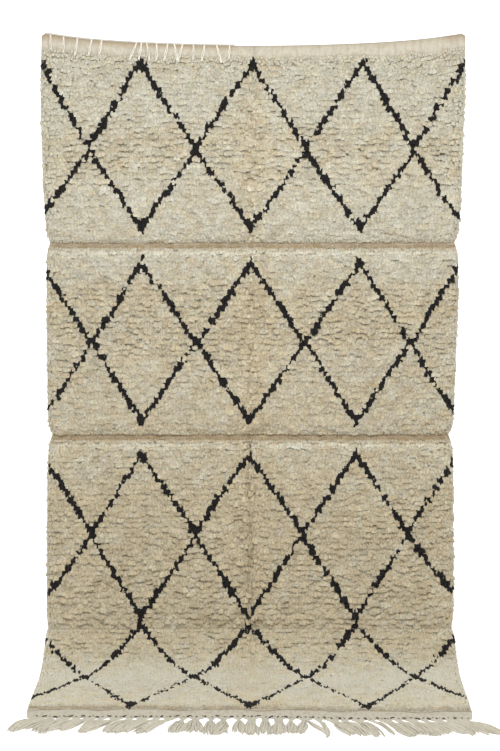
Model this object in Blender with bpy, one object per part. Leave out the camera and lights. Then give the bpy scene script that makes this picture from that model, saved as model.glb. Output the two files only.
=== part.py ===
"""A knotted shag rug that hangs from its top edge, with its lower end turned forward onto the floor.

Each piece is first modelled flat, as it left the loom: x runs across the rug, y down its length from the
top edge, and z is the height above the back of the cloth. hang() then carries every point of that flat
model to where the hanging rug has it. Metres, +Z up, the pile facing -Y, the floor at z = 0.
"""

import math

import bmesh
import bpy
import numpy as np

# ---- driving sizes, in metres ----
RUG_WIDTH = 1.49  # without the locks that stand out of its sides
RUG_LENGTH = 2.71  # with both flat-woven end bands, without the fringe
TOP_BAND = 0.033  # flat-woven band above the first row of pile
BOTTOM_BAND = 0.060  # flat-woven band below the last row of pile
CLOTH = 0.005  # thickness of the flat-woven ground
PILE = 0.021  # wool that stands on the ground
GAP = 0.0004  # left between a fringe's strip and the cloth's edge

# How the rug hangs: its slope from the vertical at places down its length.
# columns: place down the rug, degrees forward of straight down
HANGING_LEAN = (
    (0.00, -3.5),
    (1.00, 0.1),
    (2.00, 11.0),
)
FLOOR_BEND = (2.00, 2.45)  # places where the rug starts to turn forward, and where it lies flat
BEND_SMOOTHS = 0.8  # share of that bend over which the creases and folds die away
LINE_POINTS = 1400  # steps in which the hanging line is worked out
LINE_BEFORE, LINE_AFTER = 0.05, 0.30  # how far the line goes on above the top edge and below the bottom one

# The rug was kept folded in four, so it has three creases across it, sunk into the pile's side.
# columns: place down the rug, depth of the crease
CREASES = (
    (0.70, 0.017),
    (1.41, 0.019),
    (2.12, 0.008),
)
CREASE_REACH = 0.024  # how far above and below a crease the cloth dips
CREASE_EDGE = 1.3  # 1 for a knife-sharp crease, 2 for a round one
CREASE_PINCH = 0.010  # how far each side is drawn in at a crease
BAND_PINCH = 0.008  # and along the lower band, which has no pile to spread it
CREASE_THINNING = 0.25  # share of the pile that a crease presses flat
PANEL_BULGE = 0.012  # how far the cloth swells forward between two creases
FOLD_DEPTH, FOLD_REACH = 0.008, 0.045  # of the soft fold down the middle
FOLD_START = 0.13  # length below the top edge over which that fold opens
CURL_DEPTH, CURL_WIDTH = 0.006, 0.060  # how far the sides turn back, and over what width

EAR = 0.046  # rise of the held top corners over the middle of the top edge
EAR_REACH = 0.10  # how far down the rug that rise dies away
# The top edge's rise from its middle to a corner is a sum of powers of the place across.
# columns: share of the rise, power
EAR_CURVE = (
    (0.7, 2),
    (0.3, 8),
)
# columns: place down the rug, sideways shift of the rug there
SIDE_DRIFT = (
    (0.00, 0.012),
    (0.30, 0.008),
    (0.90, 0.008),
    (1.40, 0.001),
    (2.00, 0.000),
    (2.71, -0.006),
)

PILE_RIM = 0.020  # width over which the pile rounds off to the sides
PILE_RAMP = 0.022  # length over which the pile rises from a flat band
PILE_LUMPS = 0.18  # share by which the pile is uneven
# columns: waves across the rug, waves down the rug, start of the wave in turns
LUMP_WAVES = (
    (3.0, 17.0, 0.10),
    (7.0, 9.0, 0.55),
    (5.0, -13.0, 0.35),
)

# Where the solid has an edge, from the middle of the rug outwards, as shares of half its width.
ACROSS = (0.0, 0.027, 0.08, 0.22, 0.37, 0.52, 0.67, 0.80, 0.90)
RIM_STEPS = (0.020, 0.012, 0.005, 0.0)  # and near its sides, measured in from each side
CREASE_STEPS = (-0.045, -0.015, 0.0, 0.015, 0.045)  # rows of edges about each crease
ROW_STEP = 0.050  # longest step between two rows of edges

LOCK_REACH = 0.007  # how far the longest locks stand out of the rug's side
LOCK_UNEVEN = 0.25  # share by which locks differ from the mean, either way
LOCK_DROOP = 0.010  # how far its tip hangs down
LOCK_TAPER = 0.40  # size of its tip against its root

# ---- bottom fringe ----
TASSEL_COUNT = 50
TASSEL_STRIP = 0.010  # length of the woven edge that holds the tassels
TASSEL_WIDTH = 0.020  # of one that lies straight; a swept one is drawn out slimmer
TASSEL_JITTER = 1.5  # degrees by which neighbours differ
STRIP_INSET = 0.002  # how far the strip stops short of the rug's sides
# Along each tassel, as shares of its length, its width and the ground's thickness.
# columns: place, width, height
TASSEL_SECTIONS = (
    (0.10, 0.62, 1.25),
    (0.35, 1.00, 1.90),
    (0.75, 0.90, 1.60),
    (1.00, 0.35, 0.90),
)
TASSEL_CREST = 0.65  # width of a tassel's top against its foot
# The way the tassels were brushed.
# columns: place across as a share of half the width, degrees to the right, length
TASSEL_SWEEP = (
    (-1.00, -37.0, 0.126),
    (-0.60, -36.0, 0.140),
    (-0.38, -44.0, 0.160),
    (-0.34, -10.0, 0.135),
    (0.00, 0.0, 0.130),
    (0.18, 0.0, 0.130),
    (0.22, -9.0, 0.130),
    (0.25, 12.0, 0.135),
    (0.34, 17.0, 0.135),
    (0.40, 26.0, 0.140),
    (0.57, 28.0, 0.140),
    (0.61, 20.0, 0.140),
    (0.80, 30.0, 0.140),
    (1.00, 41.0, 0.150),
)

# ---- top fringe ----
WARP_STRIP = 0.004  # height of the woven edge that the warp ends leave
WARP_STRIP_END = 0.020  # how far that edge goes on past the outer warp ends
WARP_WIDTH = 0.006
WARP_THICKNESS = 0.003
WARP_CLEARANCE = 0.0012  # between a warp end and the cloth that it hangs over
# columns: place across the rug, length, sideways lean of the tip
WARP_ENDS = (
    (-0.715, 0.045, 0.004),
    (-0.668, 0.050, 0.000),
    (-0.617, 0.055, -0.004),
    (-0.569, 0.045, -0.006),
    (-0.532, 0.040, -0.010),
    (-0.414, 0.055, -0.012),
    (-0.398, 0.060, 0.004),
    (-0.369, 0.065, 0.003),
    (-0.338, 0.055, -0.006),
    (-0.314, 0.050, 0.010),
    (-0.282, 0.050, -0.008),
    (-0.252, 0.055, 0.003),
    (-0.215, 0.050, -0.004),
    (-0.175, 0.060, 0.006),
    (-0.117, 0.040, 0.000),
    (-0.085, 0.055, 0.003),
)

# columns: material, red, green, blue, roughness
WOOLS = (
    ("shag_wool", 0.580, 0.510, 0.380, 0.95),
    ("warp_cotton", 0.640, 0.600, 0.490, 0.90),
)


def column(table, index):
    """One column of a table of sizes, as an array."""
    return np.array([row[index] for row in table])


def smooth(share):
    """0 to 1 with an easy start and stop."""
    share = np.clip(share, 0.0, 1.0)
    return share * share * (3.0 - 2.0 * share)


# ---- the shape in which the rug hangs ----


def slope_at(down):
    """Angle of the cloth from straight down, towards the front, in radians."""
    lean = np.radians(np.interp(down, column(HANGING_LEAN, 0), column(HANGING_LEAN, 1)))
    start, end = FLOOR_BEND
    turned = smooth((down - start) / (end - start))
    return lean + (math.pi / 2 - lean) * turned


def hanging_line():
    """Places down the rug, from just above its top edge to past its tassels, with the y and z of each."""
    down = np.linspace(-LINE_BEFORE, RUG_LENGTH + LINE_AFTER, LINE_POINTS)
    step = down[1] - down[0]
    middle = slope_at((down[1:] + down[:-1]) / 2)
    y = np.concatenate([[0.0], np.cumsum(-np.sin(middle) * step)])
    z = np.concatenate([[0.0], np.cumsum(-np.cos(middle) * step)])
    return down, y - np.interp(0.0, down, y), z - z[-1]


LINE = hanging_line()


def hanging_share(down):
    """1 where the rug hangs, 0 where it lies on the floor."""
    start, end = FLOOR_BEND
    return 1.0 - float(smooth((down - start) / (BEND_SMOOTHS * (end - start))))


def dip(distance):
    """Shape of a crease: 1 on it, fading to 0 on both sides."""
    return math.exp(-((abs(distance) / CREASE_REACH) ** CREASE_EDGE))


def crease_at(down):
    """Share of a crease's full effect at this place down the rug."""
    return sum(dip(down - place) for place, _ in CREASES)


def relief(across, down):
    """How far the cloth stands forward of its hanging line, by its creases, folds and swelling."""
    ends = [0.0] + [place for place, _ in CREASES] + [RUG_LENGTH]
    panel = max(i for i, start in enumerate(ends[:-1]) if down >= start or i == 0)
    share = (down - ends[panel]) / (ends[panel + 1] - ends[panel])
    swelling = PANEL_BULGE * math.sin(math.pi * min(max(share, 0.0), 1.0))
    crease = sum(depth * dip(down - place) for place, depth in CREASES)
    fold = FOLD_DEPTH * math.exp(-abs(across) / FOLD_REACH) * float(smooth(down / FOLD_START))
    curl = CURL_DEPTH * max(0.0, 1.0 - (RUG_WIDTH / 2 - abs(across)) / CURL_WIDTH) ** 2
    return (swelling - crease - fold - curl) * hanging_share(down)


def half_columns():
    """Places across one half of the rug where its solid has an edge, from its middle to its side."""
    inner = [share * RUG_WIDTH / 2 for share in ACROSS]
    return np.array(inner + [RUG_WIDTH / 2 - step for step in RIM_STEPS])


def ear(across):
    """Share of the corner's rise that the top edge has here; it runs straight from column to column."""
    side = half_columns() / (RUG_WIDTH / 2)
    rise = sum(share * side**power for share, power in EAR_CURVE)
    return float(np.interp(abs(across), half_columns(), rise))


def hang(place):
    """Carry a point of the flat model to its place on the hanging rug."""
    across, down, height = place
    slope = float(slope_at(down))
    y, z = float(np.interp(down, LINE[0], LINE[1])), float(np.interp(down, LINE[0], LINE[2]))
    out = height + relief(across, down)
    drift = float(np.interp(down, column(SIDE_DRIFT, 0), column(SIDE_DRIFT, 1)))
    band = float(smooth((down - RUG_LENGTH) / BOTTOM_BAND + 1.0))
    pinch = CREASE_PINCH * crease_at(down) * hanging_share(down) + BAND_PINCH * band
    rise = EAR * ear(across) * math.exp(-max(down, 0.0) / EAR_REACH)
    return (
        across * (1.0 - pinch / (RUG_WIDTH / 2)) + drift,
        y - out * math.cos(slope),
        z + out * math.sin(slope) + rise,
    )


# ---- the rug ----


def pile_top(across, down):
    """Height of the rug's face above the back of the cloth."""
    first, last = TOP_BAND, RUG_LENGTH - BOTTOM_BAND
    ends = smooth((down - first) / PILE_RAMP) * smooth((last - down) / PILE_RAMP + 0.5)
    inward = (RUG_WIDTH / 2 - abs(across)) / PILE_RIM
    rim = math.sqrt(max(0.0, 1.0 - max(0.0, 1.0 - inward) ** 2))
    lumps = sum(
        math.sin(math.tau * (a * across / RUG_WIDTH + d * down / RUG_LENGTH + start))
        for a, d, start in LUMP_WAVES
    ) / len(LUMP_WAVES)
    pressed = 1.0 - CREASE_THINNING * min(1.0, crease_at(down))
    return CLOTH + PILE * float(ends) * rim * pressed * (1.0 + PILE_LUMPS * lumps)


def rug_columns():
    """Places across the rug where its solid has an edge."""
    half = list(half_columns())
    return [-place for place in reversed(half[1:])] + half


def rug_rows():
    """Places down the rug where its solid has an edge."""
    last = RUG_LENGTH - BOTTOM_BAND
    keys = [0.0] + [TOP_BAND + PILE_RAMP * share for share in (0.0, 0.25, 0.75, 1.0)]
    keys += [place + step for place, _ in CREASES for step in CREASE_STEPS]
    keys += [last - PILE_RAMP / 2, last + PILE_RAMP / 2, RUG_LENGTH]
    rows = [keys[0]]
    for key in keys[1:]:
        start = rows[-1]
        parts = math.ceil((key - start) / ROW_STEP)
        rows += [start + (key - start) * (i + 1) / parts for i in range(parts)]
    return rows


def rug_face(across, down):
    """Height of the rug's face near its top edge, where it runs straight between columns and rows."""
    rows = top_rows()
    columns = rug_columns()
    heights = [np.interp(across, columns, [pile_top(c, row) for c in columns]) for row in rows]
    return float(np.interp(down, rows, heights))


def top_rows():
    """The rows of edges that the warp ends hang over."""
    reach = 3 * (TOP_BAND + PILE_RAMP)
    return [row for row in rug_rows() if row < reach]


def flat_cloth(columns, rows, top):
    """A closed flat slab with edges at the given columns and rows; top(across, down) is its upper side."""
    mesh = bmesh.new()
    steps_across, steps_down = len(columns) - 1, len(rows) - 1
    bmesh.ops.create_grid(mesh, x_segments=steps_across, y_segments=steps_down, size=1.0)
    for vert in mesh.verts:
        i = round((vert.co.x + 1.0) / 2.0 * steps_across)
        j = round((vert.co.y + 1.0) / 2.0 * steps_down)
        vert.co = (columns[i], rows[j], 0.0)
    raised = bmesh.ops.extrude_face_region(mesh, geom=list(mesh.faces))
    for item in raised["geom"]:
        if isinstance(item, bmesh.types.BMVert):
            item.co.z = top(item.co.x, item.co.y)
    mesh.normal_update()
    return mesh


def grow_side_locks(mesh):
    """Draw a short, drooping lock of pile out of each face of the rug's two sides."""
    first, last = TOP_BAND + PILE_RAMP, RUG_LENGTH - BOTTOM_BAND
    sides = []
    for face in mesh.faces:
        middle = face.calc_center_median()
        at_side = all(abs(abs(vert.co.x) - RUG_WIDTH / 2) < 1e-6 for vert in face.verts)
        if at_side and first < middle.y < last:
            sides.append(face)
    sides.sort(key=lambda face: tuple(face.calc_center_median()))
    locks = bmesh.ops.extrude_discrete_faces(mesh, faces=sides)["faces"]
    for number, lock in enumerate(locks):
        middle = lock.calc_center_median()
        reach = LOCK_REACH * (1.0 - LOCK_UNEVEN + LOCK_UNEVEN * math.sin(2.4 * number))
        outward = math.copysign(reach, middle.x)
        for vert in lock.verts:
            vert.co = middle + (vert.co - middle) * LOCK_TAPER
            vert.co.x += outward
            vert.co.y += LOCK_DROOP


def make_rug(material):
    mesh = flat_cloth(rug_columns(), rug_rows(), pile_top)
    grow_side_locks(mesh)
    return finished("rug", mesh, material)


# ---- the fringes ----


def face_between(mesh, low, high):
    """The face whose corners all lie in the box from low to high."""
    margin = 1e-6
    for face in mesh.faces:
        corners = [vert.co for vert in face.verts]
        if all(low[k] - margin <= c[k] <= high[k] + margin for c in corners for k in range(3)):
            return face
    raise ValueError("the strip has no such face")


def tassel_roots():
    """Middle of each tassel's root, across the rug."""
    pitch = (RUG_WIDTH - TASSEL_STRIP) / TASSEL_COUNT
    return [(number + 0.5 - TASSEL_COUNT / 2) * pitch for number in range(TASSEL_COUNT)]


def make_bottom_fringe(material):
    """The woven edge below the bottom band, with its row of tassels lying on the floor."""
    half_root = TASSEL_WIDTH * TASSEL_SECTIONS[0][1] / 2
    edges = [-RUG_WIDTH / 2 + STRIP_INSET, RUG_WIDTH / 2 - STRIP_INSET]
    for root in tassel_roots():
        edges += [root - half_root, root + half_root]
    near, far = RUG_LENGTH + GAP, RUG_LENGTH + GAP + TASSEL_STRIP
    mesh = flat_cloth(sorted(edges), [near, far], lambda across, down: CLOTH)
    for number, root in enumerate(tassel_roots()):
        side = root / (RUG_WIDTH / 2)
        sweep = np.interp(side, column(TASSEL_SWEEP, 0), column(TASSEL_SWEEP, 1))
        length = np.interp(side, column(TASSEL_SWEEP, 0), column(TASSEL_SWEEP, 2))
        sweep = math.radians(sweep + TASSEL_JITTER * math.sin(1.7 * number))
        full_width = TASSEL_WIDTH * math.cos(sweep)
        face = face_between(mesh, (root - half_root, far, 0.0), (root + half_root, far, CLOTH))
        for place, width, height in TASSEL_SECTIONS:
            turned = sweep * min(1.0, place / TASSEL_SECTIONS[1][0])
            middle = (root + place * length * math.sin(sweep), far + place * length * math.cos(sweep))
            half = full_width * width / 2
            face = section_face(mesh, face, middle, turned, half, CLOTH * height)
    return finished("bottom_fringe", mesh, material)


def section_face(mesh, face, middle, turned, half_width, height):
    """Extrude a tassel's end face to its next section: flat on the floor, narrower on top."""
    old_middle = face.calc_center_median()
    along = (math.cos(turned), -math.sin(turned))
    side_of = {}
    for vert in face.verts:
        side_of[tuple(vert.co)] = math.copysign(1.0, vert.co.x - old_middle.x)
    grown = bmesh.ops.extrude_discrete_faces(mesh, faces=[face])["faces"][0]
    for vert in grown.verts:
        side = side_of[tuple(vert.co)]
        on_top = vert.co.z > 0.0
        half = half_width * (TASSEL_CREST if on_top else 1.0)
        vert.co = (
            middle[0] + side * half * along[0],
            middle[1] + side * half * along[1],
            height if on_top else 0.0,
        )
    return grown


def make_top_fringe(material):
    """The woven edge on top of the upper band, with the warp ends that fall over the rug's face."""
    half = WARP_WIDTH / 2
    edges = [WARP_ENDS[0][0] - WARP_STRIP_END, WARP_ENDS[-1][0] + WARP_STRIP_END]
    for root, _, _ in WARP_ENDS:
        edges += [root - half, root + half]
    low, high = -GAP - WARP_STRIP, -GAP
    mesh = flat_cloth(sorted(edges), [low, high], lambda across, down: CLOTH)
    for root, length, lean in WARP_ENDS:
        face = face_between(mesh, (root - half, low, CLOTH), (root + half, high, CLOTH))
        for down in [row for row in top_rows() if row < length] + [length]:
            middle = root + lean * down / length
            clear = max(rug_face(middle - half, down), rug_face(middle + half, down)) + WARP_CLEARANCE
            inner = (down or high, clear)
            outer = (down or low, clear + WARP_THICKNESS)
            face = strand_face(mesh, face, middle, half, inner, outer)
    return finished("top_fringe", mesh, material)


def strand_face(mesh, face, middle, half, inner, outer):
    """Extrude a warp end to its next section; inner and outer are (down, height) of its two sides."""
    centre = face.calc_center_median()
    corners = {}
    for vert in face.verts:
        right = vert.co.x > centre.x
        upper = vert.co.z - centre.z > 1e-5 or (abs(vert.co.z - centre.z) <= 1e-5 and vert.co.y < centre.y)
        corners[tuple(vert.co)] = (right, upper)
    grown = bmesh.ops.extrude_discrete_faces(mesh, faces=[face])["faces"][0]
    for vert in grown.verts:
        right, upper = corners[tuple(vert.co)]
        down, height = outer if upper else inner
        vert.co = (middle + (half if right else -half), down, height)
    return grown


# ---- finishing ----


def wool(name, red, green, blue, roughness):
    """A matt yarn."""
    material = bpy.data.materials.new(name)
    material.use_nodes = True
    shader = material.node_tree.nodes["Principled BSDF"]
    shader.inputs["Base Color"].default_value = (red, green, blue, 1.0)
    shader.inputs["Roughness"].default_value = roughness
    shader.inputs["Metallic"].default_value = 0.0
    return material


def finished(name, flat, material):
    """Hang a flat piece, turn its faces outwards and make it an object."""
    for vert in flat.verts:
        vert.co = hang(vert.co)
    bmesh.ops.recalc_face_normals(flat, faces=list(flat.faces))
    if flat.calc_volume(signed=True) < 0.0:
        bmesh.ops.reverse_faces(flat, faces=list(flat.faces))
    mesh = bpy.data.meshes.new(name)
    flat.to_mesh(mesh)
    flat.free()
    mesh.materials.append(material)
    mesh.shade_smooth()
    mesh.set_sharp_from_angle(angle=math.radians(50))
    piece = bpy.data.objects.new(name, mesh)
    bpy.context.scene.collection.objects.link(piece)
    return piece


def centre_on_floor(pieces):
    """Stand the rug with the middle of its outline over the origin."""
    points = [vert.co for piece in pieces for vert in piece.data.vertices]
    middle = [(min(p[k] for p in points) + max(p[k] for p in points)) / 2 for k in range(2)]
    for piece in pieces:
        piece.location = (-middle[0], -middle[1], 0.0)


for old in list(bpy.data.objects):
    bpy.data.objects.remove(old, do_unlink=True)
shag_wool, warp_cotton = (wool(*row) for row in WOOLS)
centre_on_floor([make_rug(shag_wool), make_bottom_fringe(warp_cotton), make_top_fringe(warp_cotton)])
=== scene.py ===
import math

import bmesh
import bpy
import numpy as np
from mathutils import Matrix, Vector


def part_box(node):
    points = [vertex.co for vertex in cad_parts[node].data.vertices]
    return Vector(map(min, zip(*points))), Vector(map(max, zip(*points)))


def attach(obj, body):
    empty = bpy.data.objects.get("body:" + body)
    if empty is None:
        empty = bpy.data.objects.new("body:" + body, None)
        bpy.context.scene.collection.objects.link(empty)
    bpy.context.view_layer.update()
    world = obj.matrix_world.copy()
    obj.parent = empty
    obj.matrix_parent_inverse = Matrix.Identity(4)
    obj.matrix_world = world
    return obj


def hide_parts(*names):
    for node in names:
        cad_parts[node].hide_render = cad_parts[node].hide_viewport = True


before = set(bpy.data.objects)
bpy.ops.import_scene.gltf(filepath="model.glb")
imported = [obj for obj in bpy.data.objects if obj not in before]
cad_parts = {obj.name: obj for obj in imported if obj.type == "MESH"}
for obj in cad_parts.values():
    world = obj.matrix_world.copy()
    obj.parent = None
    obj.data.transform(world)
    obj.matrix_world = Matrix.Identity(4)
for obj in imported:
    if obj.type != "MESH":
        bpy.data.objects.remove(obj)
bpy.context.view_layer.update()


# ---- the view ----
# The rug is seen straight on, from a little under six feet up and about five metres away,
# through a lens of the length used for furniture, tipped down so that the fringe is in the picture.

VIEW_FROM = (-0.005, -4.731, 1.774)
VIEW_TIPPED_DOWN = 7.95  # degrees
VIEW_LENS = 67.1  # millimetres, with 36 mm along the picture's long side


def put_in_scene(item):
    bpy.context.scene.collection.objects.link(item)


camera_data = bpy.data.cameras.new("view")
camera_data.lens = VIEW_LENS
camera_data.sensor_width = 36.0
camera_data.clip_end = 60.0
camera = bpy.data.objects.new("view", camera_data)
camera.location = VIEW_FROM
camera.rotation_euler = (math.radians(90.0 - VIEW_TIPPED_DOWN), 0.0, 0.0)
put_in_scene(camera)
bpy.context.scene.camera = camera


# ---- the woven ground ----
# The cloth that holds the rug together: undyed wool warps packed with soft wool weft, which also
# makes the plain bands at both ends. On its back each row of knots shows as a low rib, and the dark
# knots show through as a faint lattice. Its top edge and its two hard creases carry painted shade in brown.

RUG_WIDTH, RUG_LENGTH = 1.49, 2.71
TOP_BAND, BOTTOM_BAND = 0.033, 0.060  # lengths of the plain bands
CLOTH = 0.005  # thickness of the woven ground
SELVEDGE = 0.004  # width over which the cloth's side is rounded
GROUND_SPACING, GROUND_STEP = 0.045, 0.010  # between its lines of points, across and down
RIB = 0.0008  # depth of the groove between two rows of knots on the back
ROW_PITCH = 0.020  # from one row of knots to the next

# columns: place down the rug, degrees forward of straight down
HANGING_LEAN = ((0.00, -3.5), (1.00, 0.1), (2.00, 11.0))
FLOOR_BEND = (2.00, 2.45)  # where the rug starts to turn forward, and where it lies flat
BEND_SMOOTHS = 0.8  # share of that bend over which the folds of the hanging part die away
LINE_POINTS = 1400  # places at which the line that the rug hangs along is worked out
LINE_BEFORE, LINE_AFTER = 0.05, 0.30  # how far that line is carried on past the ends of the cloth
# columns: place down the rug, depth of the crease
CREASES = ((0.70, 0.017), (1.41, 0.019), (2.12, 0.008))
PRESSED = CREASES[:2]  # the two along which the rug was folded hard
CREASE_REACH, CREASE_EDGE = 0.024, 1.3  # how far a crease is felt, and the power of its falling off
CREASE_PINCH, BAND_PINCH = 0.010, 0.008  # how far each side is drawn in at a crease, and at the end
PANEL_BULGE = 0.012  # of the cloth between two creases
FOLD_DEPTH, FOLD_REACH, FOLD_START = 0.008, 0.045, 0.13  # of the soft fold down the middle
CURL_DEPTH, CURL_WIDTH = 0.006, 0.060  # of the sides, which curl back
EAR, EAR_REACH = 0.046, 0.10  # rise of the upper corners, and how far down the rug it is felt
# columns: share of the rise, power
EAR_CURVE = ((0.7, 2), (0.3, 8))
# columns: place down the rug, sideways shift of the rug there
SIDE_DRIFT = (
    (0.00, 0.012),
    (0.30, 0.008),
    (0.90, 0.008),
    (1.40, 0.001),
    (2.00, 0.000),
    (2.71, -0.006),
)
CORNER, CORNER_DROP = 0.020, 0.014  # reach and depth of the rounding of the upper corners
# The sides are wrapped in wool, which makes a smooth, thicker edge.
# columns: place down the rug, how far the wrapped side stands out past the cloth
WRAPPED_SIDE = (
    (0.00, 0.010),
    (0.15, 0.016),
    (0.50, 0.013),
    (0.70, 0.006),
    (0.85, 0.010),
    (1.30, 0.008),
    (1.41, 0.003),
    (1.55, 0.009),
    (2.20, 0.010),
    (2.45, 0.009),
    (2.65, 0.004),
    (2.71, 0.003),
)
WRAPPED_POWER = 14  # of the thicker edge's falling off towards the middle
# On the floor the right half spreads a little to the right, and its end comes further forward.
FLOOR_SPREAD, END_SKEW = 0.013, 0.017
FRINGE_EDGE = -0.735  # left end of the woven edge above the top band
END_WAVER = 0.010  # how far the end of the pile strays


def column(table, index):
    return np.array([row[index] for row in table])


def read(table, place, index=1):
    """A column of a table of sizes, read between its rows."""
    return np.interp(place, column(table, 0), column(table, index))


def smooth(share):
    share = np.clip(share, 0.0, 1.0)
    return share * share * (3.0 - 2.0 * share)


def slope_at(down):
    start, end = FLOOR_BEND
    lean = np.radians(read(HANGING_LEAN, down))
    return lean + (math.pi / 2 - lean) * smooth((down - start) / (end - start))


def hanging_line():
    """Places down the rug, with the y and z of the back of its cloth at each."""
    down = np.linspace(-LINE_BEFORE, RUG_LENGTH + LINE_AFTER, LINE_POINTS)
    step = down[1] - down[0]
    middle = slope_at((down[1:] + down[:-1]) / 2)
    y = np.concatenate([[0.0], np.cumsum(-np.sin(middle) * step)])
    z = np.concatenate([[0.0], np.cumsum(-np.cos(middle) * step)])
    return down, y - np.interp(0.0, down, y), z - z[-1]


LINE = hanging_line()
HUNG_AT = (
    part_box("top_fringe")[0].x - (FRINGE_EDGE + SIDE_DRIFT[0][1]),
    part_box("rug")[0].y - np.interp(RUG_LENGTH, LINE[0], LINE[1]),
    0.0,
)


def hanging_share(down):
    start, end = FLOOR_BEND
    return 1.0 - smooth((down - start) / (BEND_SMOOTHS * (end - start)))


def crease_at(down, depths=False):
    """Share of a crease's full effect, or its depth, at these places down the rug."""
    return sum(
        (depth if depths else 1.0) * np.exp(-((abs(down - place) / CREASE_REACH) ** CREASE_EDGE))
        for place, depth in CREASES
    )


def relief(across, down):
    """How far the cloth stands forward of its hanging line."""
    ends = np.array([0.0, *column(CREASES, 0), RUG_LENGTH])
    panel = np.clip(np.searchsorted(ends, down, side="right") - 1, 0, len(ends) - 2)
    share = (down - ends[panel]) / (ends[panel + 1] - ends[panel])
    swelling = PANEL_BULGE * np.sin(math.pi * np.clip(share, 0.0, 1.0))
    fold = FOLD_DEPTH * np.exp(-abs(across) / FOLD_REACH) * smooth(down / FOLD_START)
    curl = CURL_DEPTH * np.maximum(0.0, 1.0 - (RUG_WIDTH / 2 - abs(across)) / CURL_WIDTH) ** 2
    return (swelling - crease_at(down, depths=True) - fold - curl) * hanging_share(down)


def on_rug(across, down, height):
    """Points given on the flat rug (metres across, down it and above its back), as they hang."""
    across, down, height = np.broadcast_arrays(across, down, height)
    slope = slope_at(down)
    y, z = np.interp(down, LINE[0], LINE[1]), np.interp(down, LINE[0], LINE[2])
    out = height + relief(across, down)
    band = smooth((down - RUG_LENGTH) / BOTTOM_BAND + 1.0)
    pinch = CREASE_PINCH * crease_at(down) * hanging_share(down) + BAND_PINCH * band
    side = abs(across) / (RUG_WIDTH / 2)
    rise = EAR * sum(share * side**power for share, power in EAR_CURVE)
    rise = rise * np.exp(-np.maximum(down, 0.0) / EAR_REACH)
    corner = np.maximum(0.0, 1.0 - (RUG_WIDTH / 2 - abs(across)) / CORNER) ** 2
    rise -= CORNER_DROP * corner * np.exp(-np.maximum(down, 0.0) / CORNER)
    x = across * (1.0 - pinch / (RUG_WIDTH / 2)) + read(SIDE_DRIFT, down)
    x += np.sign(across) * read(WRAPPED_SIDE, down) * np.minimum(side, 1.0) ** WRAPPED_POWER
    spread = smooth((across + 0.45) / 0.65) - 0.7 * smooth((across - 0.50) / 0.25)
    x += FLOOR_SPREAD * spread * smooth((down - 2.05) / 0.30)
    skew = END_SKEW * smooth((across - 0.03) / 0.30) * smooth((down - 2.30) / 0.35)
    points = [x, y - skew - out * np.cos(slope), z + out * np.sin(slope) + rise]
    return np.stack(points, axis=-1) + HUNG_AT


def slab(name, columns, rows, back, face):
    """A closed sheet with edges at the given columns and rows; back and face are its two heights."""
    across, down = np.meshgrid(columns, rows)
    count = across.size
    across, down = np.tile(across.ravel(), 2), np.tile(down.ravel(), 2)
    height = np.concatenate([back(across[:count], down[:count]), face(across[:count], down[:count])])
    wide, long = len(columns), len(rows)
    corner = (np.arange(long - 1)[:, None] * wide + np.arange(wide - 1)[None, :]).ravel()
    quads = np.stack([corner, corner + 1, corner + wide + 1, corner + wide], axis=1)
    top, left = np.arange(wide - 1), np.arange(long - 1) * wide
    bottom, right = top + (long - 1) * wide, left + wide - 1
    rim = [
        np.stack([edge, edge + step, edge + step + count, edge + count], axis=1)
        for edge, step in ((top, 1), (left, wide), (bottom, 1), (right, wide))
    ]
    faces = np.concatenate([quads, quads + count, *rim])
    mesh = bpy.data.meshes.new(name)
    mesh.from_pydata(on_rug(across, down, height).tolist(), [], faces.tolist())
    face_outwards(mesh)
    weave = mesh.uv_layers.new(name="weave")
    corners = np.zeros(len(mesh.loops), dtype=np.int32)
    mesh.loops.foreach_get("vertex_index", corners)
    weave.data.foreach_set("uv", np.stack([across[corners], down[corners]], axis=1).ravel())
    return mesh, across, down


def face_outwards(mesh):
    shape = bmesh.new()
    shape.from_mesh(mesh)
    bmesh.ops.recalc_face_normals(shape, faces=list(shape.faces))
    if shape.calc_volume(signed=True) < 0.0:
        bmesh.ops.reverse_faces(shape, faces=list(shape.faces))
    shape.to_mesh(mesh)
    shape.free()
    mesh.shade_smooth()


def carry(mesh, name, values):
    """Give each point of a mesh a named number or direction."""
    values = np.asarray(values, dtype=np.float32)
    kind, field = ("FLOAT_VECTOR", "vector") if values.ndim == 2 else ("FLOAT", "value")
    mesh.attributes.new(name, kind, "POINT").data.foreach_set(field, values.ravel())


def add(tree, kind, values=None, **settings):
    """A node with its settings; each value is a number for a socket or the socket that feeds it."""
    node = tree.nodes.new(kind)
    for name, value in settings.items():
        setattr(node, name, value)
    for key, value in (values or {}).items():
        if isinstance(value, bpy.types.NodeSocket):
            tree.links.new(value, node.inputs[key])
        else:
            node.inputs[key].default_value = value
    return node


def attribute(tree, name):
    """The socket that reads a named number of each point of a mesh."""
    return add(tree, "ShaderNodeAttribute", attribute_name=name).outputs["Fac"]


def noise(tree, place, scale, detail, **settings):
    values = {"Vector": place, "Scale": scale, "Detail": detail}
    return add(tree, "ShaderNodeTexNoise", values, **settings).outputs[0]


def set_sockets(node, values):
    for key, value in values.items():
        node.inputs[key].default_value = value


def new_material(name, roughness, sheen):
    """A matt wool or cotton, with its shader ready for a colour and a bump."""
    material = bpy.data.materials.new(name)
    material.use_nodes = True
    shader = material.node_tree.nodes["Principled BSDF"]
    set_sockets(shader, {"Roughness": roughness, "Specular IOR Level": 0.2})
    set_sockets(shader, {"Sheen Weight": sheen, "Sheen Roughness": 0.5})
    return material, material.node_tree, shader


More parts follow.
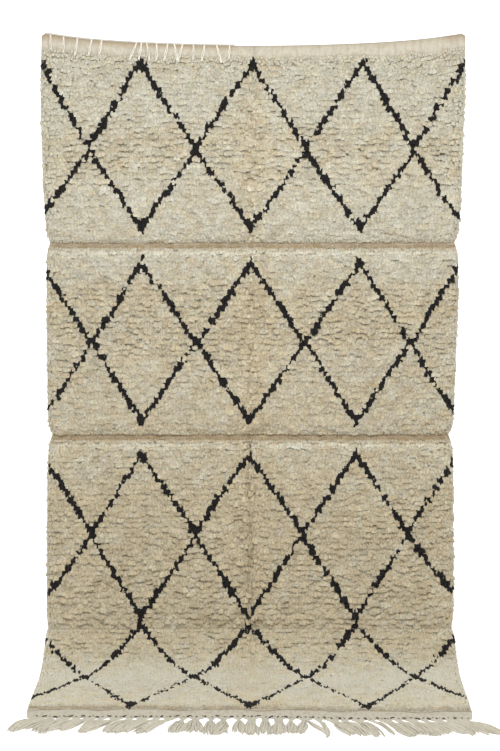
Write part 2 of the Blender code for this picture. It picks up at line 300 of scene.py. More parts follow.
def math_node(tree, operation, first, second=None, clamp=False):
    node = add(tree, "ShaderNodeMath", operation=operation, use_clamp=clamp)
    for socket, value in zip(node.inputs, (first, second)):
        if isinstance(value, bpy.types.NodeSocket):
            tree.links.new(value, socket)
        elif value is not None:
            socket.default_value = value
    return node.outputs[0]


def plus(tree, first, second, clamp=False):
    return math_node(tree, "ADD", first, second, clamp)


def minus(tree, first, second, clamp=False):
    return math_node(tree, "SUBTRACT", first, second, clamp)


def times(tree, first, second, clamp=False):
    return math_node(tree, "MULTIPLY", first, second, clamp)


def blend_colours(tree, share, first, second):
    """First colour where share is 0, second where it is 1."""
    node = add(tree, "ShaderNodeMix", data_type="RGBA")
    for socket, value in zip((node.inputs[0], node.inputs[6], node.inputs[7]), (share, first, second)):
        if isinstance(value, bpy.types.NodeSocket):
            tree.links.new(value, socket)
        else:
            socket.default_value = (*value, 1.0) if isinstance(value, tuple) else value
    return node.outputs[2]


# The lattice of dark knots: eight zigzags that run across the rug. One that peaks has an upper point
# on the middle line, and the others a lower one. At each side a zigzag stops part of the way down.
# columns: place of its upper points, place of its lower points, 1 if it peaks, shares of the way
# from an upper point to a lower one (the other way for those that don't peak) at the left and right sides
ZIGZAGS = (
    (0.067, 0.361, 1, 0.05, 0.03),
    (0.374, 0.648, 0, 0.21, 0.10),
    (0.775, 1.072, 1, 0.10, 0.04),
    (1.063, 1.361, 0, 0.12, 0.09),
    (1.484, 1.774, 1, 0.10, 0.07),
    (1.784, 2.090, 0, 0.27, 0.29),
    (2.118, 2.370, 1, 0.20, 0.19),
    (2.356, 2.630, 0, 0.26, 0.30),
)
# columns: place across the rug of each turn of a zigzag, 1 if a peaking zigzag is at its lowest there
ZIGZAG_TURNS = (
    (-0.585, 1.0),
    (-0.404, 0.0),
    (-0.202, 1.0),
    (-0.005, 0.0),
    (0.193, 1.0),
    (0.390, 0.0),
    (0.581, 1.0),
)


def zigzag_places(across):
    """Place down the rug of each zigzag at these places across it, one row for each zigzag."""
    turns = [-RUG_WIDTH / 2, *column(ZIGZAG_TURNS, 0), RUG_WIDTH / 2]
    places = []
    for top, low, peaks, left, right in ZIGZAGS:
        share = np.interp(across, turns, [left, *column(ZIGZAG_TURNS, 1), right])
        places.append(top + share * (low - top) if peaks else low - share * (low - top))
    return np.stack(places)


def cloth_height(across, side):
    """Height of the cloth's back (side -1) or face (side 1), which nearly meet at its sides."""
    inward = np.clip((RUG_WIDTH / 2 - abs(across)) / SELVEDGE, 0.0, 1.0)
    return CLOTH / 2 * (1.0 + side * np.sqrt(1.0 - (1.0 - inward) ** 2 * 0.96))


def pile_end(across):
    """Place down the rug where the pile stops, which wavers by a few millimetres."""
    waves = 0.7 * np.sin(24.0 * across + 0.8) + 0.4 * np.sin(47.0 * across)
    waves = waves + 0.4 * np.sin(9.0 * across + 2.0)
    return RUG_LENGTH - BOTTOM_BAND - 0.006 + END_WAVER * waves


def back_height(across, down):
    groove = RIB * (0.5 - 0.5 * np.cos(math.tau * down / ROW_PITCH))
    knotted = (down > TOP_BAND) * (down < RUG_LENGTH - BOTTOM_BAND) * hanging_share(down)
    return cloth_height(across, -1.0) + groove * knotted


def face_height(across, down):
    return cloth_height(across, 1.0)


# There are extra lines of points at the turns of the lattice, at the middle fold and near the sides.
side = RUG_WIDTH / 2
ground_columns = np.concatenate(
    [
        np.linspace(SELVEDGE - side, side - SELVEDGE, round(RUG_WIDTH / GROUND_SPACING)),
        column(ZIGZAG_TURNS, 0),
        [0.0012 - side, side - 0.0012, 0.0, -FOLD_REACH / 2, FOLD_REACH / 2],
        [0.009 - side, 0.015 - side, side - 0.015, side - 0.009],
    ]
)
ground_rows = np.linspace(0.0, RUG_LENGTH, round(RUG_LENGTH / GROUND_STEP) + 1)
ground_columns = np.sort(ground_columns)
ground_mesh, across, down = slab("woven_ground", ground_columns, ground_rows, back_height, face_height)
for number, places in enumerate(zigzag_places(across)):
    carry(ground_mesh, f"zigzag_{number + 1}", places)
carry(ground_mesh, "pile_end", pile_end(across))

ground_wool, tree, shader = new_material("ground_wool", 0.92, 0.15)
weave = add(tree, "ShaderNodeUVMap", uv_map="weave")
split = add(tree, "ShaderNodeSeparateXYZ", {0: weave.outputs[0]})
weft = {"Vector": weave.outputs[0], "Scale": 52.0, "Distortion": 1.5, "Detail": 2.0, "Detail Scale": 3.0}
weft = add(tree, "ShaderNodeTexWave", weft, wave_type="BANDS", bands_direction="Y")
yarns = add(tree, "ShaderNodeMapping", {"Vector": weave.outputs[0], "Scale": (90.0, 420.0, 1.0)})
yarns = noise(tree, yarns.outputs[0], 1.0, 3.0)
patches = noise(tree, weave.outputs[0], 9.0, 4.0)
plain = blend_colours(tree, yarns, (0.30, 0.285, 0.228), (0.50, 0.475, 0.395))
warm_patches = times(tree, patches, 0.30)
plain = blend_colours(tree, warm_patches, plain, (0.52, 0.43, 0.31))
mottle = add(tree, "ShaderNodeMapping", {"Vector": weave.outputs[0], "Scale": (1.6, 0.7, 1.0)}).outputs[0]
mottle = noise(tree, mottle, 50.0, 3.0)
mottle = times(tree, minus(tree, mottle, 0.44), 5.0, clamp=True)
plain = blend_colours(tree, times(tree, mottle, 0.6), plain, (0.31, 0.265, 0.20))

place_across, place_down = split.outputs[0], split.outputs[1]


def close_to(value, place, reach, share=1.0):
    """Share where the value is at this place, fading to 0 at its reach on both sides."""
    away = math_node(tree, "ABSOLUTE", minus(tree, value, place))
    near = minus(tree, 1.0, math_node(tree, "DIVIDE", away, reach), clamp=True)
    return times(tree, near, share)


# Painted shade: a brown line along the top edge, strongest on the left and at the right corner.
left_half = times(tree, minus(tree, -0.05, place_across), 20.0, clamp=True)
corner = times(tree, minus(tree, place_across, 0.66), 25.0, clamp=True)
top_edge_shade = plus(tree, math_node(tree, "MAXIMUM", left_half, corner), 0.35, clamp=True)
top_edge_shade = times(tree, top_edge_shade, plus(tree, patches, 0.45, clamp=True))
top_edge_shade = times(tree, top_edge_shade, close_to(place_down, 0.003, 0.019))
plain = blend_colours(tree, top_edge_shade, plain, (0.29, 0.225, 0.145))

# Painted shade in brown along the two hard creases.
for (place, _), share in zip(PRESSED, (0.50, 0.75)):
    crease_shade = close_to(place_down, place + 0.004, 0.022, share)
    plain = blend_colours(tree, crease_shade, plain, (0.30, 0.215, 0.115))

# The wavering line of warm shade where the pile ends on the lower band.
below_pile = minus(tree, place_down, attribute(tree, "pile_end"))
line_strength = times(tree, patches, 1.8)
line_strength = plus(tree, line_strength, -0.10, clamp=True)
line_strength = times(tree, close_to(below_pile, 0.005, 0.008), line_strength)
plain = blend_colours(tree, line_strength, plain, (0.17, 0.12, 0.06))

# The lattice as it shows on the back: each row of knots strays from the nearest zigzag by its own
# small step, and the weft between two rows hides the dark wool.
row = math_node(tree, "SNAP", place_down, ROW_PITCH / 2)
cell = add(tree, "ShaderNodeCombineXYZ", {0: math_node(tree, "SNAP", place_across, 0.19), 1: row}).outputs[0]
stray = add(tree, "ShaderNodeTexWhiteNoise", {"Vector": cell}, noise_dimensions="3D").outputs["Value"]
stray = times(tree, minus(tree, stray, 0.25), ROW_PITCH)
row_place = plus(tree, row, stray)
nearest = 1.0
for number in range(len(ZIGZAGS)):
    zigzag = attribute(tree, f"zigzag_{number + 1}")
    away = math_node(tree, "ABSOLUTE", minus(tree, row_place, zigzag))
    nearest = math_node(tree, "MINIMUM", away, nearest)
dark_below = minus(tree, 1.0, math_node(tree, "DIVIDE", nearest, 0.019), clamp=True)
dark_below = times(tree, dark_below, 2.6, clamp=True)
quarter = ROW_PITCH / 4
across_row = math_node(tree, "PINGPONG", minus(tree, place_down, quarter), quarter)
across_row = minus(tree, 1.0, math_node(tree, "DIVIDE", across_row, quarter))
shown = plus(tree, times(tree, across_row, 1.2), 0.25, clamp=True)
dark_below = times(tree, dark_below, shown)
plain = blend_colours(tree, dark_below, plain, (0.075, 0.063, 0.052))
tree.links.new(plain, shader.inputs["Base Color"])
height = plus(tree, weft.outputs["Fac"], times(tree, yarns, 0.5))
bump = add(tree, "ShaderNodeBump", {"Strength": 0.6, "Distance": 0.0012, "Height": height})
tree.links.new(bump.outputs[0], shader.inputs["Normal"])

ground_mesh.materials.append(ground_wool)
ground = bpy.data.objects.new("woven_ground", ground_mesh)
put_in_scene(ground)
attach(ground, "root")
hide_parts("rug")


# ---- the pile ----
# Rows of soft, loosely spun wool knots, tied round pairs of warps and cut to about an inch,
# cream with a lattice of near-black ones. Hanging, each knot's ends droop over the row below.

KNOT_PITCH = 0.0092  # from one knot to the next in its row
KNOT_LENGTH = 0.026
KNOT_STOUTNESS = 0.30  # width of a knot's tip against its length
KNOT_SPREAD = 2.50  # and how much wider it is across the rug than down it
KNOT_STRAY = 0.0022  # how far a knot may be from its place
PILE_INSET = 0.0085  # of the outermost knots from the wrapped side
ROW_INSET = 0.004  # of the first and last rows from the plain bands
ROW_WANDER = 0.0042  # how far a row strays from straight
CLUMP = 0.017  # width of the clumps in which neighbouring knots cling together
PILE_BANDS = 6
LINE_HALF_WIDTH = 0.0112  # of a dark line, measured across the rug
LINE_STEEPNESS = 1.40  # of a line, height over width
LINE_RAGGED = 0.0030  # how far a dark line's ends differ from row to row
CREAM_SPECKS = 0.06  # share of cream knots among the dark ones
CROSSINGS = (0.367, 1.068, 1.779)  # places down the hanging part where two zigzags meet
DROOP = 0.018  # how far below its root a knot shows
random = np.random.default_rng(31)


def bell(away, reach):
    """1 where away is 0, falling off smoothly on both sides."""
    return np.exp(-((away / reach) ** 2))


def wander(across, down, waves, seed):
    """A smooth uneven value of about -1 to 1 over the rug, made of a few crossing waves."""
    chosen = np.random.default_rng(seed)
    total = np.zeros_like(across)
    for _ in range(waves[2]):
        turn = chosen.uniform(0.0, math.tau)
        pace = chosen.uniform(waves[0], waves[1])
        ahead = across * math.cos(turn) + down * math.sin(turn)
        total += np.sin(pace * ahead + chosen.uniform(0.0, math.tau))
    return total / math.sqrt(waves[2])


def clumped(across, row, seed):
    """A value of -1 to 1 that the knots of one clump share, and that eases from clump to clump."""
    steps = math.ceil(RUG_WIDTH / CLUMP) + 4
    values = np.random.default_rng(seed).uniform(-1.0, 1.0, (row.max() + 1, steps))
    place = (across + RUG_WIDTH / 2) / CLUMP + 1.5 + values[row, 0]
    left = place.astype(int)
    ease = smooth(place - left)
    return values[row, left] * (1.0 - ease) + values[row, left + 1] * ease


def knots():
    """Place across, place down and row number of every knot; two rows make one ridge of the pile."""
    rows = np.arange(TOP_BAND + ROW_INSET, RUG_LENGTH - BOTTOM_BAND - ROW_INSET, ROW_PITCH / 2)
    outermost = RUG_WIDTH / 2 - PILE_INSET
    places = np.arange(-outermost, outermost + 0.001, KNOT_PITCH)
    row, place = np.meshgrid(np.arange(len(rows)), places, indexing="ij")
    row, across = row.ravel(), place.ravel()
    across = across + (row % 2) * KNOT_PITCH / 2 + random.uniform(-KNOT_STRAY, KNOT_STRAY, across.size)
    across = np.clip(across, -outermost, outermost)
    calm = 1.0 - 0.8 * np.minimum(1.0, crease_at(rows[row]))
    down = rows[row] + KNOT_STRAY * calm * random.uniform(-1.0, 1.0, across.size)
    down += ROW_WANDER * calm * (0.6 * wander(across, down, (10.0, 60.0, 9), 4) + clumped(across, row, 5))
    return across, np.clip(down, TOP_BAND, pile_end(across)), row


def dark_knots(across, down, row):
    """1 for each knot of dark wool, 0 for each cream one.

    A line is thicker where its zigzag turns and thinner where two zigzags meet. On the floor it is
    thin and broken, but for the turns closest to the end.
    """
    turn_places = column(ZIGZAG_TURNS, 0)
    turns = np.searchsorted(turn_places, across)
    ragged = np.random.default_rng(12)
    shifts = ragged.uniform(-1.0, 1.0, (len(ZIGZAGS), len(ZIGZAG_TURNS) + 1, row.max() + 1)) * LINE_RAGGED
    widths = LINE_HALF_WIDTH + ragged.uniform(-0.3, 0.3, shifts.shape) * LINE_RAGGED
    on_floor = 1.0 - hanging_share(down)
    from_turn = abs(across[:, None] - turn_places[None, :]).min(axis=1)
    thick = 1.0 - on_floor * np.clip(0.20 + 0.60 * clumped(across, row, 15), 0.0, 0.9)
    last_turns = on_floor * bell(from_turn, 0.014) * (down > 2.55) * (abs(across) < 0.6)
    crossing = sum(bell(down - place, 0.035) for place in CROSSINGS)
    at_turn = (1.0 - on_floor) * bell(from_turn, 0.010)
    thick += 1.3 * last_turns + at_turn * (0.5 - 0.85 * crossing)
    dark = np.zeros(across.size, dtype=bool)
    for number in range(len(ZIGZAGS)):
        shifted = across + shifts[number, turns, row] + random.uniform(-0.002, 0.002, across.size)
        away = abs(down + DROOP - zigzag_places(shifted)[number])
        away += random.uniform(-0.0035, 0.0035, across.size)
        dark |= away < LINE_STEEPNESS * widths[number, turns, row] * thick
    specks = CREAM_SPECKS * (last_turns < 0.3) * (from_turn > 0.012)
    dark &= random.uniform(0.0, 1.0, across.size) > specks
    return dark.astype(float)


def normals(across, down):
    """Directions out of the rug and down it, at these places."""
    step = 0.004
    along = on_rug(across + step, down, CLOTH) - on_rug(across - step, down, CLOTH)
    below = on_rug(across, down + step, CLOTH) - on_rug(across, down - step, CLOTH)
    out = np.cross(below, along)
    return out / np.linalg.norm(out, axis=1)[:, None], below / np.linalg.norm(below, axis=1)[:, None]


def new_tree(name, **inputs):
    """A node tree with a mesh in and out, and the sockets of its inputs, which are these numbers."""
    tree = bpy.data.node_groups.new(name, "GeometryNodeTree")
    tree.interface.new_socket("Geometry", in_out="INPUT", socket_type="NodeSocketGeometry")
    for key, value in inputs.items():
        kind = "NodeSocketInt" if isinstance(value, int) else "NodeSocketFloat"
        tree.interface.new_socket(key, in_out="INPUT", socket_type=kind).default_value = value
    tree.interface.new_socket("Geometry", in_out="OUTPUT", socket_type="NodeSocketGeometry")
    return tree, tree.nodes.new("NodeGroupInput").outputs


def made_by(tree, points, inputs, name):
    """The plain mesh that a tree makes of these points."""
    holder = bpy.data.objects.new(name, points)
    put_in_scene(holder)
    modifier = holder.modifiers.new(name, "NODES")
    modifier.node_group = tree
    for item in tree.interface.items_tree:
        if item.in_out == "INPUT" and item.name in inputs:
            modifier[item.identifier] = inputs[item.name]
    seen = holder.evaluated_get(bpy.context.evaluated_depsgraph_get())
    mesh = bpy.data.meshes.new_from_object(seen)
    mesh.name = name
    holder.modifiers.clear()
    holder.data = mesh
    bpy.data.meshes.remove(points)
    return holder


def named(tree, name, kind="FLOAT"):
    """The socket that reads a named number or direction of each point."""
    return add(tree, "GeometryNodeInputNamedAttribute", {"Name": name}, data_type=kind).outputs[0]


def vector_node(tree, operation, first, second):
    """A sum, difference and so on of two directions, or a direction scaled by a number."""
    second_key = "Scale" if operation == "SCALE" else 1
    return add(tree, "ShaderNodeVectorMath", {0: first, second_key: second}, operation=operation).outputs[0]


def finish_tree(tree, geometry, material, smooth_faces=True):
    """Realised, smooth or faceted, in its material and out."""
    made = add(tree, "GeometryNodeSetShadeSmooth", {"Geometry": geometry, "Shade Smooth": smooth_faces})
    made = add(tree, "GeometryNodeRealizeInstances", {0: made.outputs[0]})
    made = add(tree, "GeometryNodeSetMaterial", {"Geometry": made.outputs[0], "Material": material})
    tree.links.new(made.outputs[0], tree.nodes.new("NodeGroupOutput").inputs[0])


def knot_tree(material):
    """Each point gets one knot: a lock of wool that leaves the cloth, droops and tapers to its tip."""
    tree, given = new_tree(
        "pile_knots", Length=KNOT_LENGTH, Stoutness=KNOT_STOUTNESS, Spread=KNOT_SPREAD, Seed=0
    )
    lock = add(
        tree,
        "GeometryNodeCurveQuadraticBezier",
        {"Resolution": 2, "Start": (0, 0, 0), "Middle": (0, 0.10, 0.70), "End": (0, 0.58, 0.80)},
    )
    along = add(tree, "GeometryNodeSplineParameter").outputs["Factor"]
    lock = add(
        tree,
        "GeometryNodeStoreNamedAttribute",
        {"Geometry": lock.outputs[0], "Name": "tip", "Value": along},
        data_type="FLOAT",
        domain="POINT",
    )
    off_middle = minus(tree, along, 0.62)
    taper = math_node(tree, "MULTIPLY_ADD", times(tree, off_middle, off_middle), -0.9)
    taper.node.inputs[2].default_value = 0.5
    width = times(tree, taper, given["Stoutness"])
    triangle = add(tree, "GeometryNodeCurvePrimitiveCircle", {"Resolution": 3, "Radius": 1.0})
    flat_out = {0: triangle.outputs[0], "Rotation": (0.0, 0.0, -math.pi / 2)}
    flat_out = add(tree, "GeometryNodeTransform", flat_out)
    lock = add(
        tree,
        "GeometryNodeCurveToMesh",
        {"Curve": lock.outputs[0], "Profile Curve": flat_out.outputs[0], "Scale": width, "Fill Caps": True},
    )

    upright = add(
        tree,
        "FunctionNodeAxesToRotation",
        {0: named(tree, "facing", "FLOAT_VECTOR"), 1: named(tree, "below", "FLOAT_VECTOR")},
        primary_axis="Z",
        secondary_axis="Y",
    )
    any_way = add(
        tree,
        "FunctionNodeRandomValue",
        {0: (-0.08, -0.08, -0.18), 1: (0.08, 0.08, 0.18), "Seed": given["Seed"]},
        data_type="FLOAT_VECTOR",
    ).outputs[0]
    any_way = vector_node(tree, "SCALE", any_way, named(tree, "unruly"))
    combed = add(tree, "ShaderNodeCombineXYZ", {0: named(tree, "lay"), 2: named(tree, "swing")}).outputs[0]
    turned = add(tree, "FunctionNodeEulerToRotation", {0: vector_node(tree, "ADD", any_way, combed)})
    turned = {0: upright.outputs[0], 1: turned.outputs[0]}
    turned = add(tree, "FunctionNodeRotateRotation", turned, rotation_space="LOCAL")
    length = times(tree, named(tree, "reach"), given["Length"])
    broad = times(tree, given["Spread"], named(tree, "breadth"))
    broad = times(tree, length, broad)
    size = add(tree, "ShaderNodeCombineXYZ", {0: broad, 1: length, 2: length}).outputs[0]
    placed = add(
        tree,
        "GeometryNodeInstanceOnPoints",
        {
            "Points": given["Geometry"],
            "Instance": lock.outputs[0],
            "Rotation": turned.outputs[0],
            "Scale": size,
        },
    )
    grown = add(tree, "GeometryNodeRealizeInstances", {0: placed.outputs[0]})
    place = add(tree, "GeometryNodeInputPosition").outputs[0]
    curl = add(tree, "ShaderNodeTexNoise", {"Vector": place, "Scale": 110.0, "Detail": 1.0}).outputs["Color"]
    curl = vector_node(tree, "SUBTRACT", curl, (0.5, 0.5, 0.5))
    curl = vector_node(tree, "SCALE", curl, times(tree, named(tree, "tip"), 0.007))
    grown = add(tree, "GeometryNodeSetPosition", {"Geometry": grown.outputs[0], "Offset": curl})
    on_floor = vector_node(tree, "MAXIMUM", place, (-9.0, -9.0, 0.0006))
    grown = add(tree, "GeometryNodeSetPosition", {"Geometry": grown.outputs[0], "Position": on_floor})
    finish_tree(tree, grown.outputs[0], material, smooth_faces=False)
    return tree


pile_wool, tree, shader = new_material("pile_wool", 0.95, 0.06)
set_sockets(shader, {"Subsurface Weight": 0.35, "Subsurface Scale": 0.008})
set_sockets(shader, {"Subsurface Radius": (1.0, 0.7, 0.4)})


def fibres(tree, scale, stretch, name):
    """Noise over the object, drawn out by a stretch along each axis."""
    place = add(tree, "ShaderNodeTexCoord").outputs["Object"]
    place = add(tree, "ShaderNodeMapping", {"Vector": place, "Scale": stretch}).outputs[0]
    return noise(tree, place, scale, 2.0, name=name)


tip, tone, warmth = (attribute(tree, name) for name in ("tip", "tone", "warmth"))
dark, painted_shade = attribute(tree, "dark"), attribute(tree, "painted_shade")
fleck = minus(tree, fibres(tree, 260.0, (0.4, 1.0, 1.0), "fleck"), 0.5)
fleck = times(tree, fleck, 1.7)
tone = plus(tree, tone, fleck, clamp=True)
clean = blend_colours(tree, tone, (0.25, 0.235, 0.187), (0.525, 0.505, 0.42))
warm = blend_colours(tree, tone, (0.237, 0.195, 0.125), (0.485, 0.42, 0.29))
cream = blend_colours(tree, warmth, clean, warm)
# Towards its root each knot turns darker and warmer: painted shade where the rows overlap.
towards_tip = math_node(tree, "POWER", tip, 0.5)
cream = blend_colours(tree, towards_tip, (0.47, 0.395, 0.275), cream)
# Painted shade in brown: in and just above the two hard creases, and along the end of the pile.
cream = blend_colours(tree, painted_shade, cream, (0.27, 0.205, 0.118))
black = blend_colours(tree, tone, (0.003, 0.0027, 0.0026), (0.010, 0.008, 0.007))
tree.links.new(blend_colours(tree, dark, cream, black), shader.inputs["Base Color"])
fuzz = fibres(tree, 900.0, (1.0, 1.0, 0.35), "fuzz")
bump = add(tree, "ShaderNodeBump", {"Strength": 0.35, "Distance": 0.001, "Height": fuzz})
tree.links.new(bump.outputs[0], shader.inputs["Normal"])

# Bands in which the wool is a little warmer or cleaner, partly as each new skein was a little different
# and partly as painted shade, warmer low on the hanging part where less light falls; and in which
# the ridges of the pile stand out more or less.
# columns: place down the rug, warmth, how much the ridges stand out
SKEINS = (
    (0.03, 0.25, 0.5),
    (0.12, 0.15, 0.3),
    (0.24, 0.20, 0.5),
    (0.30, 0.50, 1.0),
    (0.40, 0.45, 1.0),
    (0.50, 0.25, 0.4),
    (0.70, 0.20, 0.1),
    (0.80, 0.35, 0.3),
    (0.86, 0.70, 0.8),
    (1.03, 0.70, 1.0),
    (1.12, 0.55, 0.6),
    (1.36, 0.65, 0.3),
    (1.48, 0.60, 0.4),
    (1.62, 0.85, 0.6),
    (1.90, 0.90, 0.9),
    (2.16, 0.90, 0.8),
    (2.26, 0.50, 0.3),
    (2.35, 0.08, 0.1),
    (2.45, 0.20, 0.0),
    (2.65, 0.60, 0.0),
)

knot_across, knot_down, knot_row = knots()
knot_dark = dark_knots(knot_across, knot_down, knot_row)
out, below = normals(knot_across, knot_down)


def clumps(seed):
    return clumped(knot_across, knot_row, seed)


def uneven(slowest, fastest, count, seed):
    return wander(knot_across, knot_down, (slowest, fastest, count), seed)


def give_or_take(most):
    return random.uniform(-most, most, knot_across.size)


def by_crease(down, reach):
    """1 along both pressed creases, falling off on both sides."""
    return sum(bell(down - place, reach) for place, _ in PRESSED)


# Shares of 1: how much each knot hangs or lies, is in the fold down the middle, at a side, in a ridge,
# in, above or below a crease, and in the first and last rows.
hanging = hanging_share(knot_down)
lying = 1.0 - hanging
middle = bell(knot_across, 0.022) * hanging
strands = bell(knot_across, 0.018) * hanging * smooth((knot_down - 1.30) / 0.30)
rim = np.maximum(0.0, 1.0 - (RUG_WIDTH / 2 - abs(knot_across)) / 0.028)
ridge = read(SKEINS, knot_down, 2) * (knot_row % 2) * (1.0 - rim)
ridge *= np.clip(0.50 + 1.2 * clumps(17), 0.0, 1.4)
pressed = np.minimum(1.0, crease_at(knot_down)) * hanging
in_crease = by_crease(knot_down + DROOP - 0.020, 0.0145)
below_crease = by_crease(knot_down + DROOP - 0.042, 0.012)
above_crease = by_crease(knot_down + 0.012, 0.011)
at_first = 1.0 - smooth((knot_down - TOP_BAND) / 0.05)
at_last = 1.0 - smooth((RUG_LENGTH - BOTTOM_BAND - knot_down) / 0.07)
from_end = pile_end(knot_across + 0.03) - 0.020 - knot_down

# How each knot swings sideways, how flat it lies, how long it is and how freely it turns.
swing = 0.22 * clumps(7) + np.sign(knot_across) * (0.30 * rim - 0.15 * middle)
lay = 0.08 * uneven(60.0, 200.0, 24, 8) + 0.05 * (knot_row % 2) + 0.28 * ridge
lay -= 0.50 + 0.35 * lying + 0.25 * pressed - 0.10 * above_crease
reach = 1.0 + 0.07 * uneven(20.0, 120.0, 16, 9) + 0.10 * clumps(6) * (1.0 - 0.7 * rim)
reach *= 1.0 - 0.45 * pressed - 0.15 * lying - 0.15 * rim
reach *= 1.0 + 0.16 * ridge + 0.3 * strands + 0.3 * middle * (knot_down > 2.0)
reach *= (1.0 - 0.45 * at_first) * (1.0 - 0.50 * at_last)
reach *= (1.0 + give_or_take(0.08) * (1.0 - rim)) * (1.0 - 0.25 * above_crease)
unruly = 1.0 - 0.7 * pressed - 0.8 * rim - 0.5 * lying

# How light and how warm its wool is, with painted shade and painted light where the light falls unevenly on
# it.
# Painted shade at the sides, where the pile turns away from the light: the knots there are darker.
knot_tone = 0.555 + 0.06 * uneven(30.0, 300.0, 24, 10) + give_or_take(0.07) + 0.20 * clumps(13) - 0.10 * rim
knot_tone += give_or_take(0.5) * middle
# Painted shade: darker down the middle of the hanging part, where less light reaches.
knot_tone -= 0.12 * smooth((knot_down - 0.40) / 0.30) * (1.0 - smooth((knot_down - 1.75) / 0.25))
# Painted light: lighter where the rug bends onto the floor, and over each crease's upper lip to offset the
# shade there.
knot_tone += 0.15 * bell(knot_down - 2.33, 0.06) + 0.60 * above_crease + 0.15 * at_first
# Painted highlight below each crease, where the cloth faces up; painted shade in each crease; painted light
# on the part lying on the floor.
knot_tone += 0.35 * below_crease - 0.10 * in_crease + 0.32 * lying - 0.05 * ridge - 0.7 * at_last
knot_warmth = read(SKEINS, knot_down) + 0.22 * uneven(20.0, 160.0, 24, 11) + 0.15 * clumps(14)
# Less warm at the sides, as part of their painted shade, and in the painted highlight below each crease;
# warmer down the middle fold, partly the parted pile's roots and partly painted bounce light.
knot_warmth += 0.35 * bell(knot_across, 0.07) - 0.3 * below_crease - 0.5 * rim
# Painted shade in brown in and above the hard creases, and a line of it along the end of the pile, most on
# the left.
knot_painted_shade = 1.30 * np.maximum(in_crease, 0.2 * above_crease) * (0.75 + 0.25 * clumps(16))
knot_painted_shade += bell(from_end, 0.005) * np.clip(0.15 - 1.1 * knot_across, 0.0, 0.8)

knot_maker = knot_tree(pile_wool)
band_of = knot_row * PILE_BANDS // (knot_row.max() + 1)
for band in range(PILE_BANDS):
    mine = band_of == band
    points = bpy.data.meshes.new("roots")
    roots = on_rug(knot_across[mine], knot_down[mine], CLOTH * 0.8)
    points.from_pydata(roots.tolist(), [], [])
    for name, values in (
        ("facing", out),
        ("below", below),
        ("lay", lay),
        ("swing", swing),
        ("reach", reach),
        ("breadth", 1.0 - 0.15 * knot_dark - 0.40 * rim - 0.60 * strands),
        ("unruly", unruly),
        ("tone", np.clip(knot_tone, 0.0, 1.0)),
        ("warmth", np.clip(knot_warmth, 0.0, 1.0)),
        ("painted_shade", np.clip(knot_painted_shade, 0.0, 1.0)),
        ("dark", knot_dark),
    ):
        carry(points, name, values[mine])
    piece = made_by(knot_maker, points, {"Seed": band}, f"pile_{band + 1}")
    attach(piece, "root")


# ---- the bottom fringe ----
# The rug's own warps, left long past the last weft: a twined edge holds them, and below it every
# nine are gathered into a thick tassel, combed to one side or the other, with blunt, fuzzy ends.

TASSEL_COUNT = 50
TASSEL_YARNS = 9
TASSEL_STRIP, STRIP_GAP = 0.010, 0.0004  # length of the twined edge, and its gap to the lower band
YARN = 0.0034  # radius of a fluffed warp yarn
TASSEL_JITTER = 3.0  # degrees by which neighbours differ
TASSEL_BEND = 9.0  # degrees by which a tassel may turn off its way towards its end
GATHERING = (0.30, -0.30, 0.0)  # how each three tassels are drawn together, as shares of the pitch
# columns: place along the tassel, half its width as a share of the pitch, thickness of its yarns
TASSEL_SHAPE = (
    (-0.16, 0.46, 0.60),
    (-0.09, 0.46, 0.60),
    (-0.01, 0.40, 0.62),
    (0.06, 0.20, 0.70),
    (0.15, 0.10, 0.80),
    (0.27, 0.14, 0.92),
    (0.40, 0.44, 1.05),
    (0.65, 0.62, 1.15),
    (0.90, 0.62, 1.10),
    (1.00, 0.56, 0.75),
)
# The way the tassels were combed.
# columns: place across as a share of half the width, degrees to the right, length, how far its neck
# is drawn in, fullness
TASSEL_SWEEP = (
    (-1.00, -37.0, 0.126, 0.3, 1.0),
    (-0.80, -36.5, 0.134, 1.0, 1.0),
    (-0.60, -36.0, 0.140, 1.0, 1.0),
    (-0.33, -44.0, 0.160, 1.0, 1.0),
    (-0.31, -10.0, 0.135, 1.0, 1.2),
    (-0.04, 0.0, 0.130, 1.0, 1.2),
    (0.00, 0.0, 0.130, 0.2, 1.1),
    (0.15, 0.0, 0.130, 0.2, 1.1),
    (0.17, 0.0, 0.130, 0.6, 1.1),
    (0.235, -6.0, 0.125, 0.6, 1.0),
    (0.25, 20.0, 0.140, 1.0, 0.30),
    (0.31, 20.0, 0.140, 1.0, 0.30),
    (0.33, 26.0, 0.145, 0.5, 1.1),
    (0.51, 30.0, 0.140, 0.5, 1.1),
    (0.525, 33.0, 0.145, 1.0, 0.30),
    (0.55, 33.0, 0.145, 1.0, 0.30),
    (0.57, 34.0, 0.140, 0.5, 1.0),
    (0.61, 24.0, 0.140, 0.4, 1.1),
    (0.80, 30.0, 0.140, 0.4, 1.1),
    (1.00, 41.0, 0.150, 0.1, 1.1),
)
# Places along a tassel's yarn, as shares of its length.
YARN_PLACES = np.concatenate([[-0.16, -0.09, -0.02], [0.05, 0.13, 0.25], np.linspace(0.38, 1.0, 5)])
FRAY_LENGTH, FRAY = 0.014, 0.0006  # of the loose plies at a yarn's end, and their radius


def yarn_tree(material):
    """A round yarn along each run of edges, as thick as its points say."""
    tree, given = new_tree("yarns", Sides=5)
    run = add(tree, "GeometryNodeMeshToCurve", {"Mesh": given["Geometry"]})
    section = add(tree, "GeometryNodeCurvePrimitiveCircle", {"Resolution": given["Sides"], "Radius": 1.0})
    thick = named(tree, "thickness")
    yarn = add(
        tree,
        "GeometryNodeCurveToMesh",
        {"Curve": run.outputs[0], "Profile Curve": section.outputs[0], "Scale": thick, "Fill Caps": True},
    )
    finish_tree(tree, yarn.outputs[0], material)
    return tree


